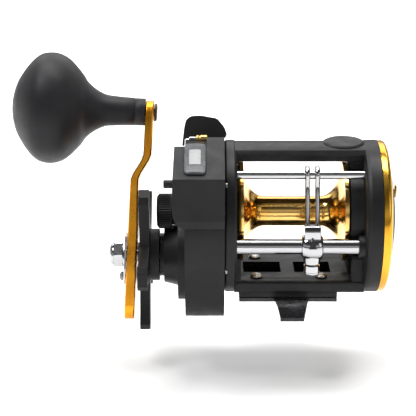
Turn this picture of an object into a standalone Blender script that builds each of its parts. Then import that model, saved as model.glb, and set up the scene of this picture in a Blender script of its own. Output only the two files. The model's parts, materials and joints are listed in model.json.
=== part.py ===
"""Level-wind trolling reel with a star drag and a line counter.

Lengths below are in millimetres and become metres in add_object.  The origin is the middle of the reel
foot's flat sole, +X points to the palm side, -Y to the rod tip and +Z up.  Every shaft runs along X.
"""
import math

import bmesh
import bpy
from mathutils import Matrix, Vector

MM = 0.001
GAP = 0.3

# Heights of the main axes above the foot's sole.
SPOOL_Z = 46.5
RING_Z = SPOOL_Z - 2.4
HANDLE_Z = SPOOL_Z - 22.8
SPOOL = (0.0, SPOOL_Z)
RING = (0.0, RING_Z)
HANDLE = (0.0, HANDLE_Z)
WORM = (-28.3, SPOOL_Z - 9.7)
BAR = (-19.9, SPOOL_Z + 23.7)

# Stations along X, from the handle side to the palm side.
CASE_FACE = -52.2
CASE_MOUTH = -33.0
LEFT_RING = (-32.7, -27.1)
RIGHT_RING = (34.6, 42.4)
RIGHT_WALL = 37.0
PALM_BACKING = 28.2
RING_R = 38.0
HANDLE_CASE_R = 31.0
WALL = 2.0

# Fillets of the line window, the base under the spool and the foot.
GUSSET_R = 4.2
GUSSET_TOP = RING_Z + 31.0
FOOT_X = (-25.7, 22.5)
BASE_Y = 22.3
BASE_TOP = SPOOL_Z - 29.5
BASE_BOTTOM = SPOOL_Z - 35.6
PAD_BOTTOM = SPOOL_Z - 37.9
FOOT_PLATE = (6.4, PAD_BOTTOM - GAP)
FOOT_SCREWS = [(-17.0, -15.5), (-17.0, 15.5), (15.0, -15.5), (15.0, 15.5)]

# Gears: modules and tooth numbers of the drive, the level wind and the counter.
GEAR_MODULE = 0.8
COUNTER_MODULE = 0.6
MAIN_TEETH, PINION_TEETH = 46, 11
SPOOL_TEETH, IDLER_TEETH, WORM_TEETH = 11, 26, 13
COUNTER_SPOOL_TEETH, COUNTER_IDLER_TEETH, COUNTER_DRIVE_TEETH = 12, 37, 12

COLOURS = {
    "graphite": ((0.028, 0.028, 0.030), 0.55, 0.0),
    "soft_black": ((0.018, 0.018, 0.019), 0.7, 0.0),
    "gold": ((0.93, 0.62, 0.16), 0.18, 1.0),
    "chrome": ((0.78, 0.79, 0.80), 0.1, 1.0),
    "steel": ((0.45, 0.45, 0.46), 0.3, 1.0),
    "brass": ((0.72, 0.52, 0.22), 0.3, 1.0),
    "dark_metal": ((0.10, 0.08, 0.07), 0.35, 1.0),
    "clear": ((0.62, 0.63, 0.64), 0.15, 0.0),
    "white": ((0.85, 0.85, 0.83), 0.4, 0.0),
}


def material(name):
    found = bpy.data.materials.get(name)
    if found:
        return found
    colour, roughness, metallic = COLOURS[name]
    made = bpy.data.materials.new(name)
    made.use_nodes = True
    shader = made.node_tree.nodes["Principled BSDF"]
    shader.inputs["Base Color"].default_value = (*colour, 1.0)
    shader.inputs["Roughness"].default_value = roughness
    shader.inputs["Metallic"].default_value = metallic
    return made


def add_object(name, bm, look, origin=(0.0, 0.0, 0.0), sharp=35.0):
    """Turn a bmesh in millimetres into one object whose origin is the given point."""
    bmesh.ops.remove_doubles(bm, verts=bm.verts, dist=0.0005)
    bmesh.ops.recalc_face_normals(bm, faces=bm.faces)
    bmesh.ops.translate(bm, verts=bm.verts, vec=-Vector(origin))
    bmesh.ops.scale(bm, verts=bm.verts, vec=(MM, MM, MM))
    mesh = bpy.data.meshes.new(name)
    bm.to_mesh(mesh)
    bm.free()
    mesh.materials.append(material(look))
    mesh.shade_smooth()
    mesh.set_sharp_from_angle(angle=math.radians(sharp))
    made = bpy.data.objects.new(name, mesh)
    made.location = Vector(origin) * MM
    bpy.context.scene.collection.objects.link(made)
    return made


def boolean(target, tool_mesh, operation, name):
    """Cut or join a bmesh tool, kept as a hidden guide object, to a target."""
    tool = add_object(name, tool_mesh, "graphite")
    tool.hide_render = True
    tool.display_type = 'WIRE'
    step = target.modifiers.new(name, 'BOOLEAN')
    step.operation = operation
    step.object = tool


def cut(target, tool_mesh, name):
    boolean(target, tool_mesh, 'DIFFERENCE', name)


def join(target, tool_mesh, name):
    boolean(target, tool_mesh, 'UNION', name)


# ---- outlines and solids -------------------------------------------------------------------------

def polar(centre, radius, degrees):
    angle = math.radians(degrees)
    return (centre[0] + radius * math.cos(angle), centre[1] + radius * math.sin(angle))


def arc(centre, radius, start, end, steps):
    return [polar(centre, radius, start + (end - start) * i / steps) for i in range(steps + 1)]


def circle(centre, radius, steps=40):
    return arc(centre, radius, 0.0, 360.0, steps)[:-1]


def turned(profile, centre, steps=24, start=None):
    """Turn a closed profile of (x, radius) points about the line through centre along X.

    A point on the axis closes the solid: with a flat face where its neighbour has the same x, and
    with a cone where it hasn't.
    """
    bm = start or bmesh.new()
    rings = []
    for x, radius in profile:
        if radius < 1e-6:
            rings.append((x, None))
        else:
            rings.append((x, [bm.verts.new((x, y, z)) for y, z in circle(centre, radius, steps)]))
    for (x, ring), (next_x, after) in zip(rings, rings[1:] + rings[:1]):
        if ring is None and after is None:
            continue
        if ring is None or after is None:
            solid = after if ring is None else ring
            if x == next_x:
                bm.faces.new(solid)
            else:
                tip = bm.verts.new((x if ring is None else next_x, centre[0], centre[1]))
                for i in range(steps):
                    bm.faces.new((solid[i], solid[(i + 1) % steps], tip))
            continue
        for i in range(steps):
            j = (i + 1) % steps
            bm.faces.new((ring[i], ring[j], after[j], after[i]))
    return bm


def rod(centre, radius, low, high, steps=16, edge=0.0, start=None):
    """A plain round bar along X, its ends chamfered by edge."""
    profile = [(low, 0.0), (low, radius - edge), (low + edge, radius), (high - edge, radius),
               (high, radius - edge), (high, 0.0)]
    if edge == 0.0:
        profile = [profile[0], profile[1], profile[3], profile[5]]
    return turned(profile, centre, steps, start)


def tube(centre, outer, inner, low, high, steps=20, start=None):
    return turned([(low, inner), (low, outer), (high, outer), (high, inner)], centre, steps, start)


def slab(outline, low, high, start=None):
    """Extrude an outline of (y, z) points along X."""
    bm = start or bmesh.new()
    near = [bm.verts.new((low, y, z)) for y, z in outline]
    far = [bm.verts.new((high, y, z)) for y, z in outline]
    bm.faces.new(near)
    bm.faces.new(far[::-1])
    for i in range(len(outline)):
        j = (i + 1) % len(outline)
        bm.faces.new((near[j], near[i], far[i], far[j]))
    return bm


def block(low, high, start=None):
    outline = [(low[1], low[2]), (high[1], low[2]), (high[1], high[2]), (low[1], high[2])]
    return slab(outline, low[0], high[0], start)


def rounded(outline, radius, steps=4):
    """Round every corner of an outline with a short curve."""
    points = []
    count = len(outline)
    for i in range(count):
        corner = Vector(outline[i])
        before = Vector(outline[i - 1]) - corner
        after = Vector(outline[(i + 1) % count]) - corner
        reach = min(radius, before.length * 0.45, after.length * 0.45)
        first = corner + before.normalized() * reach
        last = corner + after.normalized() * reach
        for k in range(steps + 1):
            t = k / steps
            points.append(tuple(first * (1 - t) ** 2 + corner * 2 * t * (1 - t) + last * t ** 2))
    return points


def drawn_along_y(outline, low, high):
    """A closed (x, z) outline drawn out between two values of y."""
    bm = slab([(-x, z) for x, z in outline], low, high)
    bmesh.ops.rotate(bm, verts=bm.verts, cent=(0, 0, 0), matrix=Matrix.Rotation(math.pi / 2, 3, 'Z'))
    bmesh.ops.recalc_face_normals(bm, faces=bm.faces)
    return bm


def turned_to(bm, point, direction):
    """Move a solid built about the X axis so that it stands at point and runs along direction."""
    turn = Vector((1, 0, 0)).rotation_difference(Vector(direction)).to_matrix().to_4x4()
    bmesh.ops.transform(bm, matrix=Matrix.Translation(point) @ turn, verts=bm.verts)
    return bm


def gear_outline(centre, teeth, module, phase):
    """Tooth outline, with a waisted flank on small gears; phase is the angle of a tooth's middle."""
    pitch_r = teeth * module / 2
    marks = [(-1.2 * module, 0.62), (0.85 * module, 0.17)] if teeth > 12 else [
        (-1.2 * module, 0.55), (0.1 * module, 0.42), (0.85 * module, 0.17)]
    points = []
    for k in range(teeth):
        middle = phase + 360.0 * k / teeth
        flank = [(pitch_r + rise, share * 180.0 / teeth) for rise, share in marks]
        points += [polar(centre, radius, middle - half) for radius, half in flank]
        points += [polar(centre, radius, middle + half) for radius, half in reversed(flank)]
    return points


def gear(name, centre, teeth, module, phase, low, high, bore, look):
    """A spur gear with a round bore, faces drawn between the tooth outline and the bore."""
    bm = slab(gear_outline(centre, teeth, module, phase), low, high)
    made = add_object(name, bm, look, (low, centre[0], centre[1]), sharp=25.0)
    cut(made, rod(centre, bore, low - 1, high + 1), name + "_bore")
    return made


def mesh_phase(centre_a, phase_a, teeth_a, centre_b, teeth_b):
    """Phase of gear b that sets its gap on gear a's tooth on the line between the two centres."""
    heading = math.degrees(math.atan2(centre_b[1] - centre_a[1], centre_b[0] - centre_a[0]))
    share = (phase_a - heading) * teeth_a / 360.0
    return heading + 180.0 + (0.5 - share) * 360.0 / teeth_b


# ---- frame and foot ------------------------------------------------------------------------------

def add_frame():
    low, high = LEFT_RING
    frame = add_object("frame", turned([(low, 0), (low, 37.3), (low + 0.7, RING_R), (high - 1.2, RING_R),
                                        (high, 36.8), (high, 0)], RING, 48), "graphite")
    low, high = RIGHT_RING
    inner = RING_R - 2.2
    join(frame, turned([(low, 0), (low, 35.6), (low + 1.0, 37.4), (low + 2.6, RING_R), (high, RING_R),
                        (high, inner), (RIGHT_WALL, inner), (RIGHT_WALL, 0)], RING, 48), "palm_cup")
    crossbar = arc(RING, 37.5, 74, 114, 7) + [polar(RING, 36.2, 117.5), polar(RING, 33.0, 118)]
    crossbar += arc(RING, 31.5, 116, 73, 6) + [polar(RING, 32.6, 70.4), polar(RING, 36.0, 70.8)]
    crossbar = [(-y, z) for y, z in crossbar]
    join(frame, slab(crossbar, LEFT_RING[1] - 1, RIGHT_RING[0] + 1), "crossbar")
    base = [(-BASE_Y, BASE_BOTTOM), (BASE_Y, BASE_BOTTOM), (BASE_Y, BASE_TOP), (-BASE_Y, BASE_TOP)]
    join(frame, slab(rounded(base, 1.6), LEFT_RING[1] - 1, RIGHT_RING[0] + 1), "base_plate")
    join(frame, block((FOOT_X[0], -BASE_Y + 0.4, PAD_BOTTOM), (FOOT_X[1], BASE_Y - 0.4, BASE_BOTTOM + 1)),
         "foot_pad")
    for side, low, high in (("left", LEFT_RING[1] - 1, -24.9), ("right", 29.6, RIGHT_RING[0] + 1)):
        web = [(-BASE_Y + 0.5, BASE_TOP - 1), (-BASE_Y + 0.5, BASE_TOP + 11), (-20.5, BASE_TOP + 12.5),
               (-13.0, BASE_TOP - 1)]
        join(frame, slab(web, low, high), side + "_web")
    backing = turned([(PALM_BACKING, 0), (PALM_BACKING, 24.9), (RIGHT_RING[0] + 1, 24.9),
                      (RIGHT_RING[0] + 1, 0)], SPOOL, 40)
    join(frame, backing, "palm_backing")
    rear_wall = [(-8.0, RING_Z + 32.6), (8.0, RING_Z + 33.5), (30.0, RING_Z + 15.0), (30.0, RING_Z - 15.0),
                 (14.0, BASE_TOP - 1), (-8.0, BASE_TOP - 1)]
    join(frame, slab(rear_wall, PALM_BACKING + 0.6, RIGHT_RING[0] + 1), "palm_rear_wall")
    worm_boss = circle(WORM, 5.4, 20)
    join(frame, slab(worm_boss, RIGHT_RING[0] - 3.0, RIGHT_RING[0] + 1), "worm_boss")
    join(frame, thumb_pad(), "thumb_pad")
    for side, wall, inward in (("left", LEFT_RING[1], 1), ("right", PALM_BACKING + 0.6, -1)):
        gusset = [(wall - inward, GUSSET_TOP + 1.0)]
        gusset += [(wall + inward * (GUSSET_R - x), GUSSET_TOP - GUSSET_R + z)
                   for x, z in (polar((0, 0), GUSSET_R, 90 - 15 * k) for k in range(7))]
        gusset += [(wall - inward, GUSSET_TOP - GUSSET_R)]
        join(frame, drawn_along_y(gusset, -9.0, 2.0), side + "_gusset")
    bores = rod(SPOOL, 26.2, LEFT_RING[0] - 1, LEFT_RING[1] + 1, 36)
    cut(frame, bores, "spool_opening")
    seats = rod(SPOOL, 5.3, PALM_BACKING - 1, RIGHT_WALL + 1, 20)
    rod(BAR, 2.4, LEFT_RING[1] - 1.3, RIGHT_RING[0] + 1.0, 16, start=seats)
    rod(WORM, 4.1, LEFT_RING[1] - 2.3, RIGHT_RING[0] - 0.5, 20, start=seats)
    cut(frame, seats, "bar_seats")
    cut(frame, rod(WORM, 2.9, LEFT_RING[1] - 4.0, RIGHT_WALL + 1, 16), "worm_bore")
    slots = block((-23.3, -7.9, BASE_BOTTOM), (-4.5, 8.6, BASE_TOP + 1))
    block((2.3, -7.9, BASE_BOTTOM), (20.4, 8.6, BASE_TOP + 1), slots)
    cut(frame, slots, "base_slots")
    cut(frame, block((-24.0, -11, PAD_BOTTOM - 1), (21.0, 11, BASE_TOP - 3.0)), "base_pocket")
    for number, (y, z) in enumerate(CASE_SCREWS, 1):
        cut(frame, rod((y, z), 2.05, LEFT_RING[0] - 1, LEFT_RING[0] + 1.4, 12), f"screw_recess_{number}")
    for number, (x, y) in enumerate(FOOT_SCREWS, 1):
        hole = turned_to(rod((0, 0), 1.8, -15, 15, 10), (x, y, BASE_TOP - 5), (0, 0, 1))
        cut(frame, hole, f"foot_hole_{number}")


def thumb_pad():
    """Oval pad on the crossbar near the palm side, proud of the bar and tipped to the front."""
    disc = turned([(-4, 0), (-4, 1), (1.4, 1), (2.0, 0.9), (2.0, 0)], (0, 0), 28)
    pad = turned_to(disc, (0, 0, 0), (0, 0, 1))
    bmesh.ops.scale(pad, verts=pad.verts, vec=(10.2, 8.6, 1.0))
    tip = Matrix.Rotation(math.radians(6), 4, 'X')
    bmesh.ops.transform(pad, matrix=Matrix.Translation((25.8, -0.3, RING_Z + 36.5)) @ tip, verts=pad.verts)
    return pad


def add_foot():
    """Cast foot: a thin wide plate under the base and a tapering saddle with a flat sole."""
    low, high = FOOT_PLATE
    foot = add_object("reel_foot", block((FOOT_X[0], -BASE_Y, low), (FOOT_X[1], BASE_Y, high)), "steel")
    side = [(-33.0, 0.0), (33.0, 0.0), (33.0, 1.8), (31.2, 3.6), (28.0, 6.2), (24.5, 7.9), (20.0, high),
            (-20.0, high), (-24.5, 7.9), (-28.0, 6.2), (-31.2, 3.6), (-33.0, 1.8)]
    saddle = slab(side, -9.5, 9.5)
    for corner in saddle.verts:
        reach = max(0.0, abs(corner.co.y) - 20.0) / 13.0
        corner.co.x *= 1.0 - 0.39 * reach
    join(foot, saddle, "saddle")
    for number, (x, y) in enumerate(FOOT_SCREWS, 1):
        hole = turned_to(rod((0, 0), 1.8, -5, 5, 10), (x, y, low + 1), (0, 0, 1))
        cut(foot, hole, f"foot_thread_{number}")
        screw = turned([(-10.9, 0), (-10.9, 1.5), (0.1 + GAP, 1.5), (0.1 + GAP, 3.0), (0.9, 3.0), (1.7, 2.2),
                        (2.1, 1.0), (2.1, 0)], (0, 0), 12)
        add_object(f"foot_screw_{number}", turned_to(screw, (x, y, BASE_TOP - 0.1), (0, 0, 1)), "steel",
                   (x, y, BASE_TOP))


# ---- handle-side cover and counter ----------------------------------------------------------------

SLOPE_START = Vector((-40.0, SPOOL_Z + 26.8))
SLOPE_END = Vector((-16.3, SPOOL_Z + 37.9))
SLOPE = (SLOPE_END - SLOPE_START).normalized()
SLOPE_NORMAL = Vector((-SLOPE.y, SLOPE.x))
COUNTER_X = -47.2
COUNTER_DEPTH = 6.9
WHEEL_R = 5.0


def on_slope(along, depth=0.0):
    """Point (y, z) at a distance along the counter's sloping top and a depth under it."""
    return SLOPE_START + SLOPE * along - SLOPE_NORMAL * depth


def case_outline(inset):
    """Union of the ring's circle and the lower circle about the handle shaft, as one outline."""
    upper, lower = RING_R - inset, HANDLE_CASE_R - inset
    drop = RING_Z - HANDLE_Z
    rise = (upper ** 2 - lower ** 2 - drop ** 2) / (2 * drop)
    upper_angle = math.degrees(math.asin(-(drop + rise) / upper))
    lower_angle = math.degrees(math.asin(-rise / lower))
    return (arc(RING, upper, upper_angle, 180 - upper_angle, 34)
            + arc(HANDLE, lower, 180 - lower_angle, 360 + lower_angle, 20)[1:-1])


def add_case():
    case = add_object("gear_side_case", slab(case_outline(0.0), CASE_FACE, CASE_MOUTH), "graphite")
    steps = [(CASE_FACE + 1, 0), (CASE_FACE + 1, 22.5), (-55.9, 22.5), (-55.9, 15.5), (-62.9, 13.8),
             (-62.9, 10.75), (-65.0, 10.75), (-65.0, 0)]
    join(case, turned(steps, HANDLE, 36), "shaft_boss")
    cut(case, rod(SPOOL, 9.1, -68.0, -58.5, 28), "cap_clearance")
    join(case, rod(SPOOL, 6.9, -64.0, CASE_FACE + 1, 24), "cast_boss")
    cut(case, slab(case_outline(WALL), CASE_FACE + WALL, CASE_MOUTH + 1), "case_room")
    cut(case, rod(HANDLE, 20.0, -53.9, CASE_FACE + WALL + 1, 28), "step_room")
    bores = rod(HANDLE, 5.8, -66, -50, 24)
    rod(SPOOL, 2.9, -65.0, CASE_FACE + WALL + 1, 16, start=bores)
    cut(case, bores, "case_bores")
    cut(case, counter_window_cutter(), "counter_gap")
    cut(case, lever_slot(), "lever_slot")
    for number, (y, z) in enumerate(CASE_SCREWS, 1):
        cut(case, rod((y, z), 1.1, CASE_MOUTH - 4.0, CASE_MOUTH + 1, 10), f"case_screw_hole_{number}")


CASE_SCREWS = [polar(RING, 36.4, 141.2), polar(RING, 36.4, 210.6)]


def counter_window_cutter():
    """The part of the case that gives way to the digit wheels and their shaft."""
    near, far = on_slope(-1.0, -6), on_slope(26.0, -6)
    deep_far, deep_near = on_slope(26.0, 15.0), on_slope(-1.0, 15.0)
    outline = [tuple(corner) for corner in (near, far, deep_far, deep_near)]
    return slab(outline, COUNTER_X - 8.0, COUNTER_X + 7.0)


HOUSING_X = (-58.1, LEFT_RING[0] - 0.3)
HOUSING_BOTTOM = SPOOL_Z + 2.1


def add_housing():
    """Hollow counter box wrapped round the case, with its left part beside the case's end face."""
    low, high = HOUSING_X
    front = SLOPE_START[0]
    outer = [(front, HOUSING_BOTTOM + 4), (front + 1.5, HOUSING_BOTTOM), (-14.0, HOUSING_BOTTOM + 3.5),
             (SLOPE_END[0], SLOPE_END[1] - 1.2), (SLOPE_END[0] - 1.2, SLOPE_END[1] - 0.6), tuple(SLOPE_START)]
    housing = add_object("counter_housing", slab(outer, low, high), "graphite")
    corner = [(low, SPOOL_Z + 14.0), (low + 0.3, SPOOL_Z + 9.6), (low + 1.2, SPOOL_Z + 6.2),
              (low + 2.8, SPOOL_Z + 3.8), (low + 5.2, SPOOL_Z + 1.8), (low - 2.0, SPOOL_Z - 1.0),
              (low - 2.0, SPOOL_Z + 14.0)]
    cut(housing, drawn_along_y(corner, -60.0, 0.0), "outer_corner")
    shoulder = [(low, SPOOL_Z + 16.0), (low - 2.0, SPOOL_Z + 16.0), (low - 2.0, SPOOL_Z + 42.0),
                (low + 1.0, SPOOL_Z + 42.0)]
    cut(housing, drawn_along_y(shoulder, -60.0, 0.0), "outer_shoulder")
    crest = [(-20.0, SPOOL_Z + 30.0), (-20.0, SLOPE_END[1] - 1.8), (-13.0, SPOOL_Z + 39.0),
             (-10.0, SPOOL_Z + 39.6), (-6.5, SPOOL_Z + 39.3), (-1.0, SPOOL_Z + 37.6), (6.0, SPOOL_Z + 34.5),
             (0.0, SPOOL_Z + 30.0)]
    join(housing, slab(crest, -41.6, high), "crest")
    room = [(front + WALL, HOUSING_BOTTOM + 5), (-16.3, HOUSING_BOTTOM + 5), (-18.0, SLOPE_END[1] - 4.0),
            tuple(on_slope(WALL, WALL))]
    cut(housing, slab(room, low + WALL, -34.9), "counter_room")
    clear_case = slab(case_outline(-GAP), CASE_FACE - GAP, high + 1)
    cut(housing, clear_case, "case_clearance")
    cut(housing, rod(HANDLE, 22.9, -60, CASE_FACE, 48), "step_clearance")
    lens_low, lens_high = on_slope(4.2, 5.0), on_slope(4.2, -3.0)
    lens_far_high, lens_far_low = on_slope(24.6, -3.0), on_slope(24.6, 5.0)
    window = [tuple(lens_low), tuple(lens_high), tuple(lens_far_high), tuple(lens_far_low)]
    cut(housing, slab(window, COUNTER_X - 4.4, COUNTER_X + 4.4), "lens_window")
    button_y, button_z = RESET
    cut(housing, rod((button_y, button_z), 2.3, low - 1, low + WALL + 1, 20), "reset_hole")


RESET = (-23.0, SPOOL_Z + 20.0)


def add_counter():
    """Lens, digit wheels on their shaft, and the two gears that drive them from the spool shaft."""
    arch = [(COUNTER_X + 5.1 * math.cos(math.radians(a)), 0.35 + 1.5 * math.sin(math.radians(a)))
            for a in range(0, 181, 20)]
    outline = arch + [(COUNTER_X - 5.1, GAP), (COUNTER_X + 5.1, GAP)]
    bm = bmesh.new()
    ends = []
    for along in (3.4, 25.2):
        ring = []
        for x, rise in outline:
            y, z = on_slope(along, -rise)
            ring.append(bm.verts.new((x, y, z)))
        ends.append(ring)
    bm.faces.new(ends[0])
    bm.faces.new(ends[1][::-1])
    for i in range(len(outline)):
        j = (i + 1) % len(outline)
        bm.faces.new((ends[0][i], ends[0][j], ends[1][j], ends[1][i]))
    add_object("counter_lens", bm, "clear")
    direction = (0.0, SLOPE.x, SLOPE.y)
    start = on_slope(0.0, COUNTER_DEPTH)
    base = (COUNTER_X, start.x, start.y)

    def along_shaft(profile, steps):
        return turned_to(turned(profile, (0, 0), steps), base, direction)

    shaft = [(5.4, 0), (5.4, 0.9), (19.6, 0.9), (19.6, 3.2), (22.0, 3.2), (22.0, 0.9), (23.4, 0.9), (23.4, 0)]
    add_object("counter_shaft", along_shaft(shaft, 16), "steel", base)
    for place, name in enumerate(("hundreds", "tens", "units")):
        low = 8.2 + 3.6 * place
        wheel = [(low, 1.2), (low, WHEEL_R), (low + 3.2, WHEEL_R), (low + 3.2, 1.2)]
        add_object("digit_wheel_" + name, along_shaft(wheel, 30), "white", base)


def counter_gears():
    """Centres and phases of the counter's gear train, in one plane beside the bridge plate."""
    drive_start = on_slope(20.8, COUNTER_DEPTH + 5.2)
    heading = (Vector((drive_start.x, drive_start.y)) - Vector(SPOOL)).normalized()
    reach = (COUNTER_SPOOL_TEETH + COUNTER_IDLER_TEETH) * COUNTER_MODULE / 2
    idler = tuple(Vector(SPOOL) + heading * reach)
    drive = tuple(Vector(SPOOL) + heading * reach * 2)
    idler_phase = mesh_phase(SPOOL, 0.0, COUNTER_SPOOL_TEETH, idler, COUNTER_IDLER_TEETH)
    drive_phase = mesh_phase(idler, idler_phase, COUNTER_IDLER_TEETH, drive, COUNTER_DRIVE_TEETH)
    return idler, idler_phase, drive, drive_phase


def add_counter_drive():
    idler, idler_phase, drive, drive_phase = counter_gears()
    low, high = -38.0, -36.4
    gear("spool_counter_gear", SPOOL, COUNTER_SPOOL_TEETH, COUNTER_MODULE, 0.0, low, high, 2.5, "brass")
    gear("counter_idler_gear", idler, COUNTER_IDLER_TEETH, COUNTER_MODULE, idler_phase, low, high, 1.3,
         "brass")
    made = add_object("counter_drive_gear", slab(gear_outline(drive, COUNTER_DRIVE_TEETH, COUNTER_MODULE,
                                                              drive_phase), low, high),
                      "brass", (low, drive[0], drive[1]), sharp=25.0)
    join(made, rod(drive, 1.6, -51.5, low + 0.5, 16), "counter_worm")


def add_reset():
    y, z = RESET
    low = HOUSING_X[0]
    button = [(-62.5, 0), (-62.5, 1.6), (-62.1, 2.0), (low + 0.4, 2.0), (low + WALL + GAP, 2.0),
              (low + WALL + GAP, 2.9), (low + WALL + 1.2, 2.9), (low + WALL + 1.2, 0)]
    add_object("reset_button", turned(button, RESET, 20), "soft_black", (low, y, z))


# ---- lever, clutch and cast control ----------------------------------------------------------------

LEVER_PIVOT = (16.0, SPOOL_Z + 14.0)


def lever_slot():
    """Slot through the top of the case that the lever's arm comes up through."""
    return block((-50.0, 3.5, SPOOL_Z + 20.0), (-44.0, 26.0, SPOOL_Z + 45.0))


def add_lever():
    """Thumb lever: an arm from its pivot inside the case up to a wide curved paddle."""
    stem = rounded([(12.5, LEVER_PIVOT[1] - 3.5), (19.5, LEVER_PIVOT[1] - 3.5), (18.0, SPOOL_Z + 34.0),
                    (15.0, SPOOL_Z + 39.5), (11.0, SPOOL_Z + 39.0), (12.5, SPOOL_Z + 30.0)], 2.0)
    y, z = LEVER_PIVOT
    lever = add_object("free_spool_lever", slab(stem, -49.0, -45.0), "graphite", (-47.0, y, z))
    bm = bmesh.new()
    face = rounded([(-53.9, SPOOL_Z + 31.6), (-53.0, SPOOL_Z + 39.8), (-52.0, SPOOL_Z + 44.2),
                    (-49.5, SPOOL_Z + 46.0), (-44.5, SPOOL_Z + 46.2), (-36.4, SPOOL_Z + 44.8),
                    (-32.8, SPOOL_Z + 40.6), (-31.5, SPOOL_Z + 37.0), (-32.4, SPOOL_Z + 35.4),
                    (-52.6, SPOOL_Z + 35.2), (-52.7, SPOOL_Z + 31.6)], 1.2)
    front, back = [], []
    for x, height in face:
        lean = 9.0 + (height - SPOOL_Z - 37.0) * 0.28
        front.append(bm.verts.new((x, lean, height)))
        back.append(bm.verts.new((x, lean + 4.2, height - 1.0)))
    bm.faces.new(front)
    bm.faces.new(back[::-1])
    for i in range(len(face)):
        j = (i + 1) % len(face)
        bm.faces.new((front[j], front[i], back[i], back[j]))
    join(lever, bm, "paddle")
    cut(lever, rod(LEVER_PIVOT, 1.6, -50, -44, 16), "lever_bore")


def add_clutch():
    """Yoke that straddles the pinion's groove and slides it along the spool axis."""
    y, z = SPOOL
    plate = rounded([(y - 7.0, z - 5.0), (y + 7.0, z - 5.0), (y + 7.0, z + 9.0), (y - 7.0, z + 9.0)], 1.5)
    yoke = add_object("clutch_yoke", slab(plate, -46.6, -45.4), "steel", (-46, y, z))
    cut(yoke, rod(SPOOL, 3.4, -48, -44, 24), "yoke_bore")
    cap = [(-66.5, 0), (-66.5, 7.9), (-65.7, 8.75), (-59.2, 8.75), (-58.8, 8.3), (-58.8, 7.2 + GAP),
           (-64.3, 7.2 + GAP), (-64.3, 0)]
    add_object("cast_control_cap", turned(cap, SPOOL, 24), "soft_black", (-62.0, y, z))


# ---- gear train on the handle shaft -----------------------------------------------------------------

def add_bridge():
    """Metal plate that closes the spool's left opening and carries the gear studs."""
    idler = counter_gears()[0]
    bridge = add_object("bridge_plate", slab(case_outline(3.0), -35.7, CASE_MOUTH), "steel")
    studs = rod(idler, 1.0, -38.2, -35.0, 12)
    rod(DOG_PIVOT, 1.2, -38.3, -35.0, 12, start=studs)
    rod(LEVER_PIVOT, 1.3, -49.9, -35.0, 12, start=studs)
    join(bridge, studs, "gear_studs")
    bores = rod(SPOOL, 5.3, -37, -32, 20)
    rod(HANDLE, 2.4, -37, -32, 24, start=bores)
    cut(bridge, bores, "bridge_bores")
    y, z = HANDLE
    add_object("handle_bearing", tube(HANDLE, 5.5, 4.3, -64.7, -54.2, 20), "steel", (-60, y, z))
    for number, (sy, sz) in enumerate(CASE_SCREWS, 1):
        screw = [(-36.6, 0), (-36.6, 0.8), (-32.6, 0.8), (-32.6, 1.75), (-31.6, 1.75), (-31.6, 0)]
        add_object(f"case_screw_{number}", turned(screw, (sy, sz), 12), "chrome", (-33.0, sy, sz))


DOG_PIVOT = (14.2, HANDLE_Z - 1.9)
HOOK_LIFT = 1.6


def add_handle_shaft():
    """Shaft, ratchet, main gear and drag stack on the handle axis."""
    y, z = HANDLE
    shaft = [(-88.4, 0), (-88.4, 2.2), (-82.9, 2.2), (-82.9, 3.6), (-38.3, 3.6),
             (-38.3, 2.1), (-33.4, 2.1), (-33.4, 0)]
    add_object("handle_shaft", turned(shaft, HANDLE, 16), "steel", (-60, y, z))
    ratchet = []
    for k in range(8):
        ratchet += [polar(HANDLE, 9.0, k * 45.0), polar(HANDLE, 8.4, k * 45.0 + 20.0),
                    polar(HANDLE, 6.4, k * 45.0 + 40.0)]
    made = add_object("anti_reverse_ratchet", slab(ratchet, -38.0, -36.2), "steel", (-37, y, z))
    cut(made, rod(HANDLE, 2.4, -40, -35, 24), "ratchet_bore")
    gear("main_gear", HANDLE, MAIN_TEETH, GEAR_MODULE, 90.0, -44.6, -38.7, 3.9, "brass")
    stack = (("drag_washer_inner", 14.0, -45.9, -44.9, "soft_black"),
             ("drag_pressure_plate", 15.0, -47.2, -46.2, "steel"),
             ("drag_washer_outer", 14.0, -48.5, -47.5, "soft_black"))
    for name, radius, low, high, look in stack:
        add_object(name, tube(HANDLE, radius, 3.9, low, high, 20), look, (low, y, z))
    dish = [(-51.6, 4.0), (-50.9, 4.0), (-49.4, 8.4), (-48.8, 8.9), (-49.9, 8.9)]
    add_object("drag_spring_washer", turned(dish, HANDLE, 20), "steel", (-50, y, z))
    pinion_phase = mesh_phase(HANDLE, 90.0, MAIN_TEETH, SPOOL, PINION_TEETH)
    made = add_object("pinion", slab(gear_outline(SPOOL, PINION_TEETH, GEAR_MODULE, pinion_phase),
                                     -44.9, -38.5), "brass", (-41, *SPOOL), sharp=25.0)
    neck = [(-47.7, 0), (-47.7, 4.3), (-46.9, 4.3), (-46.9, 3.1), (-44.4, 3.1), (-44.4, 0)]
    join(made, turned(neck, SPOOL, 20), "pinion_neck")
    cut(made, rod(SPOOL, 2.5, -51, -37, 24), "pinion_bore")
    along, out = Vector((-0.771, 0.636)), Vector((0.636, 0.771))
    shape = [(-2.4, -2.4), (-2.4, 2.4), (0.0, 4.9), (9.5, 4.9), (10.6, 4.1), (10.6, HOOK_LIFT),
             (9.6, HOOK_LIFT), (8.4, 2.9), (2.4, 2.5), (2.4, -2.4)]
    pawl_arm = [tuple(Vector(DOG_PIVOT) + along * a + out * b) for a, b in shape]
    dog = add_object("anti_reverse_dog", slab(pawl_arm, -38.0, -36.4), "steel", (-37, *DOG_PIVOT))
    cut(dog, rod(DOG_PIVOT, 1.5, -40, -35, 16), "dog_bore")


# ---- star drag and handle ---------------------------------------------------------------------------

VIEW_TILT = 16.0
ARM_LEAN = math.tan(math.radians(2.6))
ARM_FACE = -81.6
ARM_THICK = 4.0
ARM_HUB_THICK = 4.9


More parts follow.
